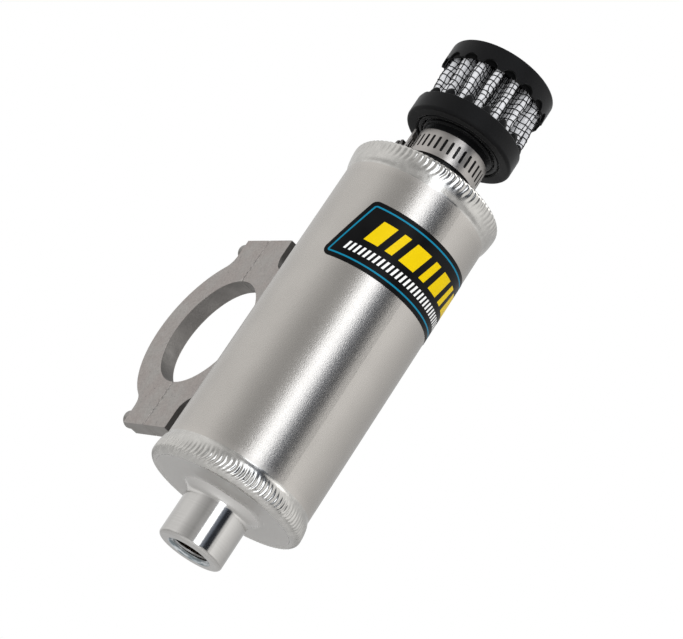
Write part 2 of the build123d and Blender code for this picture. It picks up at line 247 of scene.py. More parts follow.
def speckled_material(name, slot, colour, place, sizes, tones, shines, depth):
    """A plain finish about a place: its tone changes from patch to patch, and its shine
    and height from grain to grain. Returns the material and its shader's inputs."""
    made, tree, sockets = new_material(name, slot)
    grain = speckle(tree, centred(tree, place), *sizes)
    first, last = (toned(linear(colour), tone) for tone in tones)
    put(tree, mixed(tree, grain["Patches"], first, last), sockets["Base Color"])
    put(tree, spread(tree, grain["Tone"], 0.0, 1.0, *shines), sockets["Roughness"])
    put(tree, bump(tree, grain["Height"], depth), sockets["Normal"])
    return made, sockets


def swept(tree, curve, sides, radius):
    """A curve given a round section with a number of sides, and closed ends."""
    section = node(tree, "GeometryNodeCurvePrimitiveCircle", {"Resolution": sides, "Radius": radius})
    inputs = {"Curve": curve, "Profile Curve": section.outputs[0], "Fill Caps": True}
    return node(tree, "GeometryNodeCurveToMesh", inputs).outputs[0]


def close_geometry(tree, geometry, material, end):
    """Ends a geometry tree: its instances made real, then its material."""
    real = node(tree, "GeometryNodeRealizeInstances", {"Geometry": geometry}).outputs[0]
    done = node(tree, "GeometryNodeSetMaterial", {"Geometry": real, "Material": material})
    put(tree, done.outputs[0], end["Geometry"])
    return tree


# Mesh helpers


def new_object(name, mesh):
    """An object at the origin of the row frame."""
    made = bpy.data.objects.new(name, mesh)
    bpy.context.scene.collection.objects.link(made)
    return made


def new_mesh(name, points, edges=(), faces=()):
    """A mesh with smooth faces."""
    made = bpy.data.meshes.new(name)
    made.from_pydata([tuple(p) for p in points], list(edges), list(faces))
    made.polygons.foreach_set("use_smooth", [True] * len(made.polygons))
    made.update()
    return made


def grow(name, tree, carrier_mesh, values):
    """Runs a node tree on a carrier mesh and keeps the result as a plain mesh."""
    made = new_object(name, carrier_mesh)
    modifier = made.modifiers.new(tree.name, "NODES")
    modifier.node_group = tree
    for item in tree.interface.items_tree:
        if item.item_type == "SOCKET" and item.in_out == "INPUT" and item.name in values:
            modifier[item.identifier] = values[item.name]
    bpy.context.view_layer.update()
    depsgraph = bpy.context.evaluated_depsgraph_get()
    result = bpy.data.meshes.new_from_object(made.evaluated_get(depsgraph), depsgraph=depsgraph)
    made.modifiers.remove(modifier)
    made.data = result
    result.name = name
    return made


def settle(made, slot, *replaced):
    """Puts a finished piece on the body, and hides the nodes that it stands for. Its slot is not used."""
    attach(made, BODY)
    if replaced:
        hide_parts(*replaced)


def dress(names, material):
    """Gives CAD nodes a material."""
    for name in names:
        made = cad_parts[name]
        made.data.materials.clear()
        made.data.materials.append(material)


# Settings


def length_property(name, description, default):
    """A setting that is a length, in metres."""
    return FloatProperty(name=name, description=description, default=default, unit="LENGTH", precision=5)


def colour_property(name, description, code):
    """A setting that is a colour, from its hexadecimal form on screen."""
    return FloatVectorProperty(
        name=name, description=description, default=screen(code), subtype="COLOR_GAMMA"
    )


class VentTankSizes(bpy.types.PropertyGroup):
    """Sizes of the pieces that are made here"""

    bottom_ripples: IntProperty(
        name="Lower ripples", description="Ripples round the lower weld bead", default=105, min=20
    )
    top_ripples: IntProperty(
        name="Upper ripples", description="Ripples round the upper weld bead", default=82, min=20
    )
    ripple_depth: length_property(
        "Ripple depth", "Depth of the hollow between two ripples", 0.24 * MM
    )
    wire_diameter: length_property(
        "Wire diameter", "Diameter of the wires of the outer screen", 0.32 * MM
    )
    upright_spacing: length_property(
        "Upright spacing", "Distance between two upright wires of the outer screen", 1.5 * MM
    )
    row_spacing: length_property(
        "Row spacing", "Distance between two wires that run round the outer screen", 2.1 * MM
    )
    thread_pitch: length_property(
        "Thread pitch", "Distance between two turns of the drain port's thread", 1.41 * MM
    )


class VentTankColours(bpy.types.PropertyGroup):
    """Colours of the finishes, as they look on screen"""

    tank: colour_property("Tank", "Satin tube of the tank", "B5B1AC")
    turned: colour_property("Turned metal", "End caps and boss", "BFBDBA")
    weld: colour_property("Weld", "Rippled weld beads", "C2C0BC")
    clamp: colour_property("Tube clamp", "Matte plate of the clamp", "A5A19D")
    screw: colour_property("Clamp screws", "Plated screws of the clamp", "8F8C88")
    band: colour_property("Hose clamp", "Slotted steel band", "AAA6A2")
    worm: colour_property("Worm screw", "Dull screw of the hose clamp", "565350")
    rubber: colour_property("Rubber", "Moulded ends of the breather", "0B0B0C")
    wire: colour_property("Wire", "Coated wires of the screens", "0C0C0D")
    cotton: colour_property("Cotton", "Pleated gauze", "E2E2E4")
    label: colour_property("Label ground", "Ground of the label", "0A0A0B")
    label_line: colour_property("Label line", "Line round the label", "0F7C9C")
    label_band: colour_property("Label band", "Broad bars of the label", "E0C000")
    label_ticks: colour_property("Label ticks", "Thin row of ticks on the label", "F0F0EE")


class VentTankStage(bpy.types.PropertyGroup):
    """Light of the stage"""

    key_power: FloatProperty(
        name="Key lamp", description="Power of the long soft box", default=4.6, unit="POWER"
    )
    top_power: FloatProperty(
        name="Top lamp", description="Power of the lamp above the far side", default=3.0, unit="POWER"
    )
    fill_power: FloatProperty(
        name="Fill lamp",
        description="Power of the lamp that lights matte surfaces alone",
        default=4.0,
        unit="POWER",
    )
    surround: FloatProperty(
        name="Surround", description="Brightness of the room as it lights matte surfaces", default=0.7
    )


# Tank, caps and welds


def tank_material(colours):
    """Satin tube with fine grains, and a pale clean zone next to each weld."""
    made, tree, sockets = new_material("tank satin", "tank_metal")
    vector = centred(tree, (TANK_X, 0, 0))
    grain = speckle(tree, vector, 0.35 * MM, 14 * MM)
    base = linear(colours.tank)
    patchy = mixed(tree, grain["Patches"], toned(base, 0.95), toned(base, 1.05))
    fine = mixed(tree, grain["Tone"], toned(base, 0.98), toned(base, 1.02))
    colour = mixed(tree, 0.5, patchy, fine)
    height = split(tree, vector)[2]
    end_zone = maths(
        tree,
        "MAXIMUM",
        spread(tree, height, TANK_BOTTOM + 12 * MM, TANK_BOTTOM + 8 * MM, smooth=True),
        spread(tree, height, TANK_TOP - 11 * MM, TANK_TOP - 7 * MM, smooth=True),
    )
    colour = mixed(tree, maths(tree, "MULTIPLY", end_zone, 0.35), colour, toned(base, 1.3))
    put(tree, colour, sockets["Base Color"])
    sockets["Metallic"].default_value = 1.0
    rough = spread(tree, grain["Tone"], 0.0, 1.0, 0.23, 0.29)
    put(tree, maths(tree, "ADD", rough, maths(tree, "MULTIPLY", end_zone, 0.06)), sockets["Roughness"])
    put(tree, bump(tree, grain["Height"], 0.036 * MM), sockets["Normal"])
    return made


def port_colour(tree, parts, radius):
    """Painted reflections as cool light and dark streaks that run round the mouth of the drain port, and
    brown painted shade far down in it.
    """
    round_port = maths(tree, "MULTIPLY", maths(tree, "ARCTAN2", parts[1], parts[0]), 1.6 * MM)
    unrolled = node(tree, "ShaderNodeCombineXYZ", {0: round_port, 1: radius, 2: parts[2]}).outputs[0]
    # Painted reflections: light and dark cool streaks stand in for glints on the thread.
    streaks = spread(tree, cloud(tree, unrolled, 0.9 * MM, detail=3.0), 0.4, 0.6)
    mouth = mixed(tree, streaks, (0.2, 0.24, 0.26, 1.0), (0.68, 0.71, 0.73, 1.0))
    # Painted shade: brown, darkening further down the port.
    painted_port_shade = spread(tree, parts[2], cap_low.z + 0.4 * MM, cap_low.z + 2.6 * MM)
    return mixed(tree, painted_port_shade, mouth, (0.16, 0.13, 0.11, 1.0))


def turned_material(colours):
    """Turned metal with fine tool marks: polished along the boss, with a painted highlight in the flare
    at its root, satin on the faces, with painted reflections streaked round the mouth of the port and
    painted shade far down in it."""
    made, tree, sockets = new_material("turned metal", "turned_metal")
    vector = centred(tree, (TANK_X, 0, 0))
    marks = use_group(tree, lathe_group(), {"Vector": vector, "Pitch": 0.28 * MM})
    grain = speckle(tree, vector, 0.5 * MM, 6 * MM)
    base = linear(colours.turned)
    lined = mixed(tree, marks["Tone"], toned(base, 0.9), toned(base, 1.06))
    colour = mixed(tree, grain["Patches"], lined, toned(base, 1.02))
    parts = split(tree, vector)
    height = parts[2]
    radius = hypotenuse(tree, parts[0], parts[1])
    flare_start = TANK_BOTTOM - BOSS_FLARE
    flare = spread(tree, height, flare_start, flare_start + 0.6 * MM, smooth=True)
    satin = spread(tree, height, TANK_BOTTOM - 0.6 * MM, TANK_BOTTOM - 0.15 * MM)
    # Painted highlight: the flare at the boss's root is lighter than the faces, standing in for the light
    # that it catches.
    colour = mixed(tree, maths(tree, "SUBTRACT", flare, satin), colour, toned(base, 1.15))
    inside = spread(tree, radius, PORT_MOUTH_RADIUS + 0.1 * MM, PORT_MOUTH_RADIUS - 0.1 * MM)
    put(tree, mixed(tree, inside, colour, port_colour(tree, parts, radius)), sockets["Base Color"])
    put(tree, maths(tree, "MULTIPLY_ADD", satin, -0.35, 1.0), sockets["Metallic"])
    shine = spread(tree, grain["Patches"], 0.0, 1.0, 0.1, 0.15)
    shine = maths(tree, "MULTIPLY_ADD", flare, 0.06, shine)
    put(tree, maths(tree, "MULTIPLY_ADD", satin, 0.27, shine), sockets["Roughness"])
    normal = bump(tree, marks["Height"], 0.005 * MM)
    put(tree, bump(tree, grain["Height"], 0.004 * MM, normal), sockets["Normal"])
    return made


def weld_material(colours):
    """Bright frosted weld metal."""
    made, tree, sockets = new_material("weld metal", "weld_metal")
    vector = centred(tree, (TANK_X, 0, 0))
    grain = speckle(tree, vector, 0.4 * MM, 2.2 * MM)
    base = linear(colours.weld)
    put(tree, mixed(tree, grain["Patches"], toned(base, 0.92), toned(base, 1.08)), sockets["Base Color"])
    sockets["Metallic"].default_value = 1.0
    put(tree, spread(tree, grain["Patches"], 0.0, 1.0, 0.18, 0.29), sockets["Roughness"])
    put(tree, bump(tree, grain["Height"], 0.012 * MM), sockets["Normal"])
    return made


def ripple_tree():
    """Node tree that presses crescent ripples into a smooth weld bead."""
    name = "Weld ripples"
    if name in bpy.data.node_groups:
        return bpy.data.node_groups[name]
    tree, start, end = new_group(
        name,
        "GeometryNodeTree",
        {
            "Geometry": "NodeSocketGeometry",
            "Count": 100,
            "Depth": 0.0003,
            "Crescent": 0.9,
            "Nose": 0.3,
            "Unevenness": 0.8,
            "Seed": 0.0,
            "Material": "NodeSocketMaterial",
        },
        {"Geometry": "NodeSocketGeometry"},
    )
    along, across = (
        node(tree, "GeometryNodeInputNamedAttribute", {"Name": label}, data_type="FLOAT").outputs[0]
        for label in ("along", "across")
    )
    place = node(tree, "GeometryNodeInputPosition").outputs[0]
    sway, patches = (
        node(
            tree,
            "ShaderNodeTexNoise",
            {"Vector": place, "W": start["Seed"], "Scale": scale, "Detail": detail},
            noise_dimensions="4D",
        ).outputs["Fac"]
        for scale, detail in ((260.0, 2.0), (620.0, 1.0))
    )
    past_nose = maths(tree, "SUBTRACT", across, start["Nose"])
    lag = maths(tree, "MULTIPLY", past_nose, past_nose)
    turns = maths(tree, "MULTIPLY", along, start["Count"])
    bowed = maths(tree, "MULTIPLY_ADD", lag, start["Crescent"], turns)
    phase = maths(tree, "MULTIPLY_ADD", maths(tree, "SUBTRACT", sway, 0.5), start["Unevenness"], bowed)
    wave = maths(tree, "ABSOLUTE", maths(tree, "SINE", maths(tree, "MULTIPLY", phase, math.pi)))
    hollow = maths(tree, "SUBTRACT", 1.0, maths(tree, "POWER", wave, 1.2))
    strength = maths(tree, "MULTIPLY_ADD", patches, 0.9, 0.55)
    square = maths(tree, "MINIMUM", maths(tree, "MULTIPLY", across, across), 1.0)
    fade = maths(tree, "SUBTRACT", 1.0, square)
    sunk = maths(tree, "MULTIPLY", maths(tree, "MULTIPLY", hollow, strength), fade)
    sunk = maths(tree, "MULTIPLY", sunk, maths(tree, "MULTIPLY", start["Depth"], -1.0))
    normal = node(tree, "GeometryNodeInputNormal").outputs[0]
    press = node(tree, "ShaderNodeVectorMath", {0: normal, "Scale": sunk}, operation="SCALE").outputs[0]
    moved = node(tree, "GeometryNodeSetPosition", {"Geometry": start["Geometry"], "Offset": press})
    smooth = node(tree, "GeometryNodeSetShadeSmooth", {"Geometry": moved.outputs[0]})
    return close_geometry(tree, smooth.outputs[0], start["Material"], end)


BEAD_HEIGHT = 1.2 * MM
HEEL_STEPS = 9
TOE_STEPS = 14
RUN_OUT_START = 0.7
STEPS_PER_RIPPLE = 9
FILLET_LEG = 4.0 * MM
FILLET_RISE = 0.7 * MM
FILLET_RIPPLES = 20
FILLET_STEPS = 12
FILLET_ROWS = 160
BEADS = {
    "bottom_weld": {
        "level": TANK_BOTTOM,
        "inward": 1,
        "heel_inset": 0.7 * MM,
        "crown_depth": 2.2 * MM,
        "reach": 8.6 * MM,
        "rippled": (0.4 * MM, 8.6 * MM),
        "depth_share": 1.1,
        "crescent": 1.4,
        "nose": 0.4,
        "seed": 0.0,
    },
    "top_weld": {
        "level": TANK_TOP,
        "inward": -1,
        "heel_inset": 1.1 * MM,
        "crown_depth": 0.8 * MM,
        "reach": 7.9 * MM,
        "rippled": (0.7 * MM, 8.6 * MM),
        "depth_share": 0.95,
        "crescent": 0.9,
        "nose": 0.1,
        "seed": 5.0,
    },
}


def with_bead_numbers(mesh, along, across):
    """Stores how far along and across the bead each point of a carrier mesh is."""
    for name, values in (("along", along), ("across", across)):
        mesh.attributes.new(name, "FLOAT", "POINT").data.foreach_set("value", values)
    return mesh


def bead_outline(heel_inset, crown_depth, reach):
    """Points of a bead's outer side from its heel on the cap to its toe on the tube, as radius
    and depth: two arcs that meet upright at the crown, with the toe run out onto the tube and
    ended just under its surface."""
    crown = Vector((TANK_RADIUS + BEAD_HEIGHT, crown_depth))
    out = []
    for end, steps, side in (
        (Vector((CAP_RADIUS - heel_inset, 0)), HEEL_STEPS, -1),
        (Vector((TANK_RADIUS, reach)), TOE_STEPS, 1),
    ):
        gap = crown - end
        bend = gap.length_squared / (2 * gap.x)
        turn = math.atan2(abs(gap.y), bend - gap.x)
        shares = [step / steps for step in range(1, steps + 1)]
        arc = [
            (crown.x - bend * (1 - math.cos(turn * s)), crown.y + side * bend * math.sin(turn * s))
            for s in shares
        ]
        if side < 0:
            out = [*reversed(arc), tuple(crown)]
            continue
        for share, (radius, depth) in zip(shares, arc):
            past = max(0.0, (share - RUN_OUT_START) / (1 - RUN_OUT_START)) ** 2
            radius = TANK_RADIUS + (radius - TANK_RADIUS) * (1 - past) - 0.02 * MM * past
            out.append((radius, depth))
    return [*out, (TANK_RADIUS - 0.06 * MM, reach + 0.6 * MM)]


def band_faces(rows, width, closed, flipped):
    """Faces between rows of points, each row a closed outline with the same number of points.
    The last row is joined to the first when the rows close."""
    faces = []
    for row in range(rows if closed else rows - 1):
        this, following = row * width, (row + 1) % rows * width
        for step in range(width):
            after = (step + 1) % width
            corners = (this + step, following + step, following + after, this + after)
            faces.append(corners[::-1] if flipped else corners)
    return faces


def ring_bead(name, bead, turns):
    """Carrier of a weld bead round the tank: its outer side, and a plain back inside the
    step that it fills. Ripples lie between two lengths along its outer side."""
    outline = bead_outline(bead["heel_inset"], bead["crown_depth"], bead["reach"])
    first, last = bead["rippled"]
    profile = []
    length = 0.0
    for number, (radius, depth) in enumerate(outline):
        if number:
            length += math.dist((radius, depth), outline[number - 1])
        across = 2 * (length - first) / (last - first) - 1
        profile.append((radius, depth, min(max(across, -1.0), 1.0)))
    profile.append((TANK_RADIUS - 0.15 * MM, CAP_THICKNESS, 1.0))
    profile.append((CAP_RADIUS - 0.1 * MM, CAP_THICKNESS, 1.0))
    points, along, across = [], [], []
    for turn in range(turns):
        angle = 2 * math.pi * turn / turns
        for radius, depth, place in profile:
            level = bead["level"] + bead["inward"] * depth
            points.append((TANK_X + radius * math.cos(angle), radius * math.sin(angle), level))
            along.append(turn / turns)
            across.append(place)
    faces = band_faces(turns, len(profile), closed=True, flipped=bead["inward"] < 0)
    return with_bead_numbers(new_mesh(name, points, faces=faces), along, across)


def fillet_bead(name, side):
    """Carrier of the straight weld between one face of the clamp's foot and the tank."""
    low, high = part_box("clamp_weld_near" if side < 0 else "clamp_weld_far")
    root_turn = math.asin(HALF_PLATE / TANK_RADIUS)
    toe_turn = math.asin((HALF_PLATE + FILLET_LEG) / TANK_RADIUS)
    root = Vector((TANK_X - TANK_RADIUS * math.cos(root_turn), side * HALF_PLATE))
    start = root - Vector((FILLET_LEG, 0))
    toe = Vector((TANK_X - TANK_RADIUS * math.cos(toe_turn), side * (HALF_PLATE + FILLET_LEG)))
    outward = Vector((-1, side)).normalized()
    profile = []
    for step in range(FILLET_STEPS + 1):
        place = 2 * step / FILLET_STEPS - 1
        flat = start.lerp(toe, step / FILLET_STEPS)
        profile.append((flat + outward * FILLET_RISE * (1 - place * place), place))
    profile.append((root + Vector((0.2 * MM, side * 0.5 * MM)), 1.0))
    width = len(profile)
    points, along, across = [], [], []
    for row in range(FILLET_ROWS + 1):
        share = row / FILLET_ROWS
        for flat, place in profile:
            points.append((flat.x, flat.y, low.z + (high.z - low.z) * share))
            along.append(share)
            across.append(place)
    faces = band_faces(FILLET_ROWS + 1, width, closed=False, flipped=side > 0)
    bottom = list(range(width))
    top = list(range(FILLET_ROWS * width, (FILLET_ROWS + 1) * width))
    faces += [bottom, top[::-1]] if side < 0 else [bottom[::-1], top]
    return with_bead_numbers(new_mesh(name, points, faces=faces), along, across)


class VENTTANK_OT_tank(bpy.types.Operator):
    """Give the tube and the turned end caps their finishes"""

    bl_idname = "venttank.tank"
    bl_label = "Tank and Caps"

    def execute(self, context):
        colours = context.scene.vent_tank_colours
        dress(["tank_tube"], tank_material(colours))
        dress(["bottom_cap", "top_cap"], turned_material(colours))
        return {"FINISHED"}


class VENTTANK_OT_welds(bpy.types.Operator):
    """Make the rippled weld beads of the tank and of the clamp's foot"""

    bl_idname = "venttank.welds"
    bl_label = "Weld Beads"

    def execute(self, context):
        sizes = context.scene.vent_tank_sizes
        metal = weld_material(context.scene.vent_tank_colours)
        tree = ripple_tree()
        counts = {"bottom_weld": sizes.bottom_ripples, "top_weld": sizes.top_ripples}
        for node_name, bead in BEADS.items():
            count = counts[node_name]
            carrier = ring_bead(node_name + "_carrier", bead, STEPS_PER_RIPPLE * count)
            values = {
                "Count": count,
                "Depth": sizes.ripple_depth * bead["depth_share"],
                "Crescent": bead["crescent"],
                "Nose": bead["nose"],
                "Seed": bead["seed"],
                "Material": metal,
            }
            settle(grow(node_name + "_bead", tree, carrier, values), "weld_metal", node_name)
        for node_name, side in (("clamp_weld_near", -1), ("clamp_weld_far", 1)):
            carrier = fillet_bead(node_name + "_carrier", side)
            values = {
                "Count": FILLET_RIPPLES,
                "Depth": sizes.ripple_depth,
                "Seed": 2.0 + side,
                "Material": metal,
            }
            settle(grow(node_name + "_bead", tree, carrier, values), "weld_metal", node_name)
        return {"FINISHED"}


# Tube clamp


def clamp_material(colours):
    """Matte milled plate with faint warm blotches and pits, flecked along its split. Painted shade
    darkens its cut edges, its bore (whose saw-cut wall is darker too) and, most of all, the sides of its
    ears that look at the tank."""
    made, tree, sockets = new_material("clamp plate", "clamp_metal")
    vector = centred(tree, (0, 0, 0))
    grain = speckle(tree, vector, 0.6 * MM, 7 * MM)
    base = linear(colours.clamp)
    warm = (base[0] * 1.04, base[1] * 0.96, base[2] * 0.955, 1.0)
    patchy = mixed(tree, grain["Patches"], toned(base, 0.94), warm)
    fine = mixed(tree, grain["Tone"], toned(base, 0.7), toned(base, 1.28))
    colour = mixed(tree, 0.45, patchy, fine)
    pits = spread(tree, cloud(tree, vector, 1.3 * MM, detail=3.0, roughness=0.65), 0.36, 0.28)
    colour = mixed(tree, pits, colour, toned(base, 0.62))
    parts = split(tree, vector)
    across = maths(tree, "ABSOLUTE", parts[1])
    # Painted shade: the plate's cut sides are darker than its faces.
    cut = spread(tree, across, HALF_PLATE - 0.05 * MM, HALF_PLATE - 0.2 * MM)
    reach = hypotenuse(tree, parts[0], parts[2])
    bore = spread(tree, reach, CLAMP_BORE + 0.8 * MM, CLAMP_BORE + 0.3 * MM)
    # Painted shade on the sides of the ears that look at the tank.
    beside = maths(
        tree,
        "MULTIPLY",
        spread(tree, parts[0], EAR_HALF_WIDTH - 1.2 * MM, EAR_HALF_WIDTH - 0.6 * MM),
        spread(tree, maths(tree, "ABSOLUTE", parts[2]), CLAMP_BORE, CLAMP_BORE + 2 * MM),
    )
    ragged = cloud(tree, vector, 1.1 * MM, detail=3.0, roughness=0.7)
    seam = spread(tree, maths(tree, "ABSOLUTE", parts[0]), 1.5 * MM, 0.4 * MM)
    light_flecks = maths(tree, "MULTIPLY", seam, spread(tree, ragged, 0.54, 0.62))
    dark_flecks = maths(tree, "MULTIPLY", seam, spread(tree, ragged, 0.46, 0.38))
    colour = mixed(tree, light_flecks, colour, toned(base, 1.45))
    colour = mixed(tree, dark_flecks, colour, toned(base, 0.45))
    # Painted shade in the bore, darkest towards its low side, with random blotches; its saw-cut wall is
    # darker too.
    painted_low_shade = spread(tree, parts[2], 0.0, -14 * MM, smooth=True)
    blotched = spread(tree, grain["Patches"], 0.0, 1.0, 0.0, 0.35)
    hollow = mixed(tree, painted_low_shade, toned(base, 0.6), toned(base, 0.3))
    hollow = mixed(tree, blotched, hollow, toned(base, 0.3))
    colour = mixed(tree, cut, colour, mixed(tree, bore, toned(base, 0.75), hollow))
    # Painted shade, darkest, on the ear sides that face the tank.
    colour = mixed(tree, maths(tree, "MULTIPLY", cut, beside), colour, toned(base, 0.17))
    put(tree, colour, sockets["Base Color"])
    sockets["Metallic"].default_value = 0.85
    put(tree, spread(tree, grain["Patches"], 0.0, 1.0, 0.44, 0.56), sockets["Roughness"])
    put(tree, bump(tree, grain["Height"], 0.09 * MM), sockets["Normal"])
    return made


def screw_material(colours):
    """Plain plated steel of the clamp screws."""
    made, sockets = speckled_material(
        "screw steel",
        "screw_steel",
        colours.screw,
        place=(0, 0, 0),
        sizes=(0.3 * MM, 2 * MM),
        tones=(0.8, 1.1),
        shines=(0.28, 0.4),
        depth=0.01 * MM,
    )
    sockets["Metallic"].default_value = 1.0
    return made


class VENTTANK_OT_tube_clamp(bpy.types.Operator):
    """Give the two clamp halves and their screws their finishes"""

    bl_idname = "venttank.tube_clamp"
    bl_label = "Tube Clamp"

    def execute(self, context):
        colours = context.scene.vent_tank_colours
        dress(["clamp_base", "clamp_cap"], clamp_material(colours))
        dress(["clamp_screw_lower", "clamp_screw_upper"], screw_material(colours))
        return {"FINISHED"}


# Drain port


THREAD_TURNS = 8.0
THREAD_START = 1.2 * MM


def thread_tree():
    """Node tree for the turns of an inside thread, on the tank's axis."""
    name = "Port thread"
    if name in bpy.data.node_groups:
        return bpy.data.node_groups[name]
    tree, start, end = new_group(
        name,
        "GeometryNodeTree",
        {
            "Geometry": "NodeSocketGeometry",
            "Turns": 8.0,
            "Radius": 0.0063,
            "Pitch": 0.0014,
            "Ridge": 0.0007,
            "Place": (0.0, 0.0, 0.0),
            "Material": "NodeSocketMaterial",
        },
        {"Geometry": "NodeSocketGeometry"},
    )
    spiral = node(
        tree,
        "GeometryNodeCurveSpiral",
        {
            "Resolution": 72,
            "Rotations": start["Turns"],
            "Start Radius": start["Radius"],
            "End Radius": start["Radius"],
            "Height": maths(tree, "MULTIPLY", start["Turns"], start["Pitch"]),
        },
    ).outputs[0]
    solid = swept(tree, spiral, 4, start["Ridge"])
    placed = node(tree, "GeometryNodeTransform", {"Geometry": solid, "Translation": start["Place"]})
    return close_geometry(tree, placed.outputs[0], start["Material"], end)


class VENTTANK_OT_drain_thread(bpy.types.Operator):
    """Make the thread inside the drain boss"""

    bl_idname = "venttank.drain_thread"
    bl_label = "Drain Thread"

    def execute(self, context):
        values = {
            "Turns": THREAD_TURNS,
            "Pitch": context.scene.vent_tank_sizes.thread_pitch,
            "Place": (TANK_X, 0, cap_low.z + THREAD_START),
            "Material": bpy.data.materials["turned metal"],
        }
        carrier = new_mesh("drain_thread_carrier", [(0, 0, 0)])
        settle(grow("drain_thread", thread_tree(), carrier, values), "turned_metal")
        return {"FINISHED"}


# Breather


PLEATS = 16
PLEAT_PHASE = math.radians(9.5)
BASE_TOP = TANK_TOP + 27.2 * MM
PLEAT_LOW = TANK_TOP + 25.6 * MM
PLEAT_HEIGHT = 19.0 * MM
PLEAT_SWAY = math.radians(2.6)
HALF_GAUZE = 0.4 * MM
GAUZE_COLUMNS = 28 * PLEATS
GAUZE_ROWS = 28
STEPS_PER_WIRE = 4
COVER_ARCH_LOW = PLEAT_LOW + 10 * MM
COVER_INNER_RADIUS = 18.5 * MM
LUG_RADIUS = 17.4 * MM
LUG_HALF_SIZE = (1.75 * MM, 1.75 * MM, 3.2 * MM)
# The pleats' section is worked out in plain millimetres, and these are its sizes.
CREST_BEND = 0.95
VALLEY_BEND = 1.3
CREST_CENTRE = 16.15
VALLEY_CENTRE = 13.2
PLEAT_SWELL = 0.9
PLEAT_SLACK = 0.1


def half_pleat(steps):
    """Points and normals from a crest to a valley of the pleats, along the middle of the
    gauze, and their length. All are in millimetres."""
    half_turn = math.pi / PLEATS
    crest_centre = Vector((CREST_CENTRE, 0))
    valley_centre = Vector((VALLEY_CENTRE * math.cos(half_turn), VALLEY_CENTRE * math.sin(half_turn)))
    span = valley_centre - crest_centre
    along = span.normalized()
    beside = Vector((along.y, -along.x))
    lean = (CREST_BEND + VALLEY_BEND) / span.length
    normal = along * lean + beside * math.sqrt(1 - lean * lean)
    crest_turn = math.atan2(normal.y, normal.x)
    valley_turn = half_turn - crest_turn
    first = crest_centre + normal * CREST_BEND
    last = valley_centre - normal * VALLEY_BEND
    lengths = [abs(CREST_BEND * crest_turn), (last - first).length, abs(VALLEY_BEND * valley_turn)]
    total = sum(lengths)
    out = []
    for step in range(steps + 1):
        place = total * step / steps
        if place <= lengths[0]:
            turn = crest_turn * place / lengths[0]
            facing = Vector((math.cos(turn), math.sin(turn)))
            out.append((crest_centre + facing * CREST_BEND, facing))
        elif place <= lengths[0] + lengths[1]:
            share = (place - lengths[0]) / lengths[1]
            out.append((first.lerp(last, share), normal))
        else:
            share = (place - lengths[0] - lengths[1]) / lengths[2]
            turn = crest_turn + valley_turn * share
            facing = Vector((math.cos(turn), math.sin(turn)))
            out.append((valley_centre - facing * VALLEY_BEND, facing))
    return out, total


HALF_STEPS = 24
HALF_PROFILE, HALF_LENGTH = half_pleat(HALF_STEPS)
ROUND_LENGTH = 2 * PLEATS * HALF_LENGTH * MM


def on_pleats(share, rise, shift):
    """A point of the row frame on the pleats, at a share of the way round and of the height,
    and a shift outward from the middle of the gauze in metres."""
    halves = (share % 1.0) * 2 * PLEATS
    number = int(halves)
    within = (halves - number) * HALF_STEPS
    mirrored = number % 2 == 1
    if mirrored:
        within = HALF_STEPS - within
    step = min(int(within), HALF_STEPS - 1)
    (first, facing), (last, turned) = HALF_PROFILE[step], HALF_PROFILE[step + 1]
    flat = first.lerp(last, within - step)
    normal = facing.lerp(turned, within - step).normalized()
    if mirrored:
        flat, normal = Vector((flat.x, -flat.y)), Vector((normal.x, -normal.y))
    place = flat + normal * shift / MM
    turn = PLEAT_PHASE + 2 * math.pi * ((number + 1) // 2) / PLEATS
    radius = place.length
    angle = math.atan2(place.y, place.x) + turn
    loose = math.sin(math.pi * min(max(rise, 0.0), 1.0)) ** 0.6
    sample = Vector((math.cos(angle) * 4.2, math.sin(angle) * 4.2, rise * 1.6))
    angle += loose * PLEAT_SWAY * noise.noise(sample)
    sample = Vector((math.cos(angle) * 3.1 + 9, math.sin(angle) * 3.1, rise * 2.1))
    radius += loose * (PLEAT_SWELL * noise.noise(sample) - PLEAT_SLACK)
    return Vector(
        (
            TANK_X + radius * MM * math.cos(angle),
            radius * MM * math.sin(angle),
            PLEAT_LOW + PLEAT_HEIGHT * rise,
        )
    )


def wire_tree():
    """Node tree that turns lines into round wires."""
    name = "Screen wires"
    if name in bpy.data.node_groups:
        return bpy.data.node_groups[name]
    tree, start, end = new_group(
        name,
        "GeometryNodeTree",
        {
            "Geometry": "NodeSocketGeometry",
            "Diameter": 0.00025,
            "Sides": 5,
            "Material": "NodeSocketMaterial",
        },
        {"Geometry": "NodeSocketGeometry"},
    )
    lines = node(tree, "GeometryNodeMeshToCurve", {"Mesh": start["Geometry"]}).outputs[0]
    solid = swept(tree, lines, start["Sides"], maths(tree, "MULTIPLY", start["Diameter"], 0.5))
    smooth = node(tree, "GeometryNodeSetShadeSmooth", {"Geometry": solid})
    return close_geometry(tree, smooth.outputs[0], start["Material"], end)


